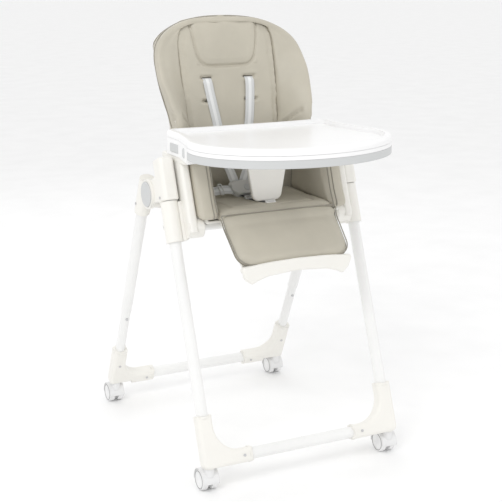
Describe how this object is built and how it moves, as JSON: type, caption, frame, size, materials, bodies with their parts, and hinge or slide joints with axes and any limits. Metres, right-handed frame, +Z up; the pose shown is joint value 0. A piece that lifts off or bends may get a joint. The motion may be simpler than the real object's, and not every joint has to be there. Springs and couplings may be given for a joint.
{
  "type": "high chair",
  "caption": "Folding high chair for a baby with a padded reclining seat and leg rest, harness, removable tray, height slides on tubular legs and twin-wheel castors.",
  "frame": {"origin": "middle of the bounding box at floor level, under the castors", "axes": "+Z up, the occupant faces -Y, +X to the occupant's left"},
  "size_m": [0.5428, 0.7766, 1.0577],
  "materials": {
    "white_tube": "satin white paint",
    "white_plastic": "fine satin moulding",
    "tray_plastic": "glossy white moulding",
    "grey_plastic": "fine matt moulding",
    "castor_plastic": "satin moulding",
    "castor_wheel": "matt tread on pale hubs",
    "seat_leather": "taupe coated fabric with a fine leather grain",
    "strap_webbing": "woven webbing",
    "buckle_plastic": "fine matt moulding",
    "steel": "zinc plated"
  },
  "bodies": {
    "front_frame": {"front_leg_tube_l": "white_tube", "front_leg_tube_r": "white_tube", "hub_housing_l": "white_plastic", "hub_housing_r": "white_plastic", "front_corner_l": "white_plastic", "front_corner_r": "white_plastic", "front_cross_tube": "white_tube", "hub_axles": "steel", "front_frame_screws": "steel"},
    "rear_frame": {"rear_upper_tube_l": "white_tube", "rear_upper_tube_r": "white_tube", "rear_lower_tube_l": "white_tube", "rear_lower_tube_r": "white_tube", "rear_leg_socket_l": "white_plastic", "rear_leg_socket_r": "white_plastic", "rear_corner_l": "white_plastic", "rear_corner_r": "white_plastic", "rear_cross_tube": "white_tube", "rear_frame_screws": "steel"},
    "seat_unit": {"carriage_l": "white_plastic", "carriage_r": "white_plastic", "side_pad_l": "seat_leather", "side_pad_r": "seat_leather", "seat_cross_tube": "steel", "seat_shell": "white_plastic", "seat_cushion": "seat_leather", "seat_hinge_pins": "steel", "waist_straps": "strap_webbing", "crotch_strap": "strap_webbing", "harness_buckle": "buckle_plastic"},
    "backrest": {"backrest_shell": "white_plastic", "back_cushion": "seat_leather", "shoulder_straps": "strap_webbing"},
    "leg_rest": {"calf_cushion": "seat_leather", "calf_panel": "white_plastic", "footrest": "white_plastic"},
    "tray": {"tray_base": "white_plastic", "tray_rim": "grey_plastic", "crotch_post": "white_plastic"},
    "tray_top": {"tray_top": "tray_plastic"},
    "recline_handle": {"recline_handle": "grey_plastic"},
    "buckle_button": {"buckle_button": "grey_plastic"},
    "rear_tube_button_l": {"rear_tube_button_l": "steel"},
    "fold_button_l": {"fold_button_l": "grey_plastic"},
    "height_lever_l": {"height_lever_l": "grey_plastic"},
    "tray_lock_button_l": {"tray_lock_button_l": "grey_plastic"},
    "tray_release_button_l": {"tray_release_button_l": "grey_plastic"},
    "castor_hood_front_l": {"castor_hood_front_l": "castor_plastic"},
    "castor_wheels_front_l": {"castor_wheels_front_l": "castor_wheel"},
    "castor_hood_rear_l": {"castor_hood_rear_l": "castor_plastic"},
    "castor_wheels_rear_l": {"castor_wheels_rear_l": "castor_wheel"},
    "rear_tube_button_r": {"rear_tube_button_r": "steel"},
    "fold_button_r": {"fold_button_r": "grey_plastic"},
    "height_lever_r": {"height_lever_r": "grey_plastic"},
    "tray_lock_button_r": {"tray_lock_button_r": "grey_plastic"},
    "tray_release_button_r": {"tray_release_button_r": "grey_plastic"},
    "castor_hood_front_r": {"castor_hood_front_r": "castor_plastic"},
    "castor_wheels_front_r": {"castor_wheels_front_r": "castor_wheel"},
    "castor_hood_rear_r": {"castor_hood_rear_r": "castor_plastic"},
    "castor_wheels_rear_r": {"castor_wheels_rear_r": "castor_wheel"}
  },
  "joints": [
    {"name": "frame_fold", "type": "hinge", "parent": "front_frame", "child": "rear_frame", "pos_m": [0, 0.025, 0.65], "axis": [-1, 0, 0], "range_deg": [0, 42]},
    {"name": "seat_height", "type": "slide", "parent": "front_frame", "child": "seat_unit", "axis": [0, -0.3551, -0.9348], "range_m": [0, 0.25]},
    {"name": "back_recline", "type": "hinge", "parent": "seat_unit", "child": "backrest", "pos_m": [0, 0.108, 0.612], "axis": [-1, 0, 0], "range_deg": [0, 35]},
    {"name": "recline_release", "type": "slide", "parent": "backrest", "child": "recline_handle", "axis": [0, 0.1822, 0.9833], "range_m": [0, 0.012], "stiffness_N_per_m": 300, "springref_m": -0.006},
    {"name": "leg_rest_tilt", "type": "hinge", "parent": "seat_unit", "child": "leg_rest", "pos_m": [0, -0.146, 0.596], "axis": [1, 0, 0], "range_deg": [-40, 38]},
    {"name": "tray_slide", "type": "slide", "parent": "seat_unit", "child": "tray", "axis": [0, -1, 0], "range_m": [0, 0.075]},
    {"name": "tray_top_lift", "type": "slide", "parent": "tray", "child": "tray_top", "axis": [0, 0, 1], "range_m": [0, 0.05]},
    {"name": "buckle_press", "type": "slide", "parent": "seat_unit", "child": "buckle_button", "axis": [0, 0.6691, -0.7431], "range_m": [0, 0.003], "stiffness_N_per_m": 400, "springref_m": -0.002},
    {"name": "fold_button_press_l", "type": "slide", "parent": "front_frame", "child": "fold_button_l", "axis": [-1, 0, 0], "range_m": [0, 0.003], "stiffness_N_per_m": 800, "springref_m": -0.002},
    {"name": "height_lever_squeeze_l", "type": "hinge", "parent": "seat_unit", "child": "height_lever_l", "pos_m": [0.244, -0.0523, 0.5831], "axis": [1, 0, 0], "range_deg": [0, 8], "stiffness_Nm_per_rad": 1.5, "springref_deg": -8.59},
    {"name": "tray_lock_press_l", "type": "slide", "parent": "tray", "child": "tray_lock_button_l", "axis": [-1, 0, 0], "range_m": [0, 0.004], "stiffness_N_per_m": 500, "springref_m": -0.002},
    {"name": "tray_release_press_l", "type": "slide", "parent": "tray", "child": "tray_release_button_l", "axis": [-1, 0, 0], "range_m": [0, 0.004], "stiffness_N_per_m": 500, "springref_m": -0.002},
    {"name": "rear_tube_press_l", "type": "slide", "parent": "rear_frame", "child": "rear_tube_button_l", "axis": [0, 0.9078, 0.4194], "range_m": [0, 0.003], "stiffness_N_per_m": 500, "springref_m": -0.002},
    {"name": "castor_swivel_front_l", "type": "hinge", "parent": "front_frame", "child": "castor_hood_front_l", "pos_m": [0.244, -0.27451, 0.045], "axis": [0, 0, 1], "continuous": true},
    {"name": "castor_roll_front_l", "type": "hinge", "parent": "castor_hood_front_l", "child": "castor_wheels_front_l", "pos_m": [0.244, -0.25951, 0.025], "axis": [1, 0, 0], "continuous": true},
    {"name": "castor_swivel_rear_l", "type": "hinge", "parent": "rear_frame", "child": "castor_hood_rear_l", "pos_m": [0.25, 0.34534, 0.045], "axis": [0, 0, 1], "continuous": true},
    {"name": "castor_roll_rear_l", "type": "hinge", "parent": "castor_hood_rear_l", "child": "castor_wheels_rear_l", "pos_m": [0.25, 0.36034, 0.025], "axis": [1, 0, 0], "continuous": true},
    {"name": "fold_button_press_r", "type": "slide", "parent": "front_frame", "child": "fold_button_r", "axis": [1, 0, 0], "range_m": [0, 0.003], "stiffness_N_per_m": 800, "springref_m": -0.002},
    {"name": "height_lever_squeeze_r", "type": "hinge", "parent": "seat_unit", "child": "height_lever_r", "pos_m": [-0.244, -0.0523, 0.5831], "axis": [1, 0, 0], "range_deg": [0, 8], "stiffness_Nm_per_rad": 1.5, "springref_deg": -8.59},
    {"name": "tray_lock_press_r", "type": "slide", "parent": "tray", "child": "tray_lock_button_r", "axis": [1, 0, 0], "range_m": [0, 0.004], "stiffness_N_per_m": 500, "springref_m": -0.002},
    {"name": "tray_release_press_r", "type": "slide", "parent": "tray", "child": "tray_release_button_r", "axis": [1, 0, 0], "range_m": [0, 0.004], "stiffness_N_per_m": 500, "springref_m": -0.002},
    {"name": "rear_tube_press_r", "type": "slide", "parent": "rear_frame", "child": "rear_tube_button_r", "axis": [0, 0.9078, 0.4194], "range_m": [0, 0.003], "stiffness_N_per_m": 500, "springref_m": -0.002},
    {"name": "castor_swivel_front_r", "type": "hinge", "parent": "front_frame", "child": "castor_hood_front_r", "pos_m": [-0.244, -0.27451, 0.045], "axis": [0, 0, 1], "continuous": true},
    {"name": "castor_roll_front_r", "type": "hinge", "parent": "castor_hood_front_r", "child": "castor_wheels_front_r", "pos_m": [-0.244, -0.25951, 0.025], "axis": [1, 0, 0], "continuous": true},
    {"name": "castor_swivel_rear_r", "type": "hinge", "parent": "rear_frame", "child": "castor_hood_rear_r", "pos_m": [-0.25, 0.34534, 0.045], "axis": [0, 0, 1], "continuous": true},
    {"name": "castor_roll_rear_r", "type": "hinge", "parent": "castor_hood_rear_r", "child": "castor_wheels_rear_r", "pos_m": [-0.25, 0.36034, 0.025], "axis": [1, 0, 0], "continuous": true}
  ]
}
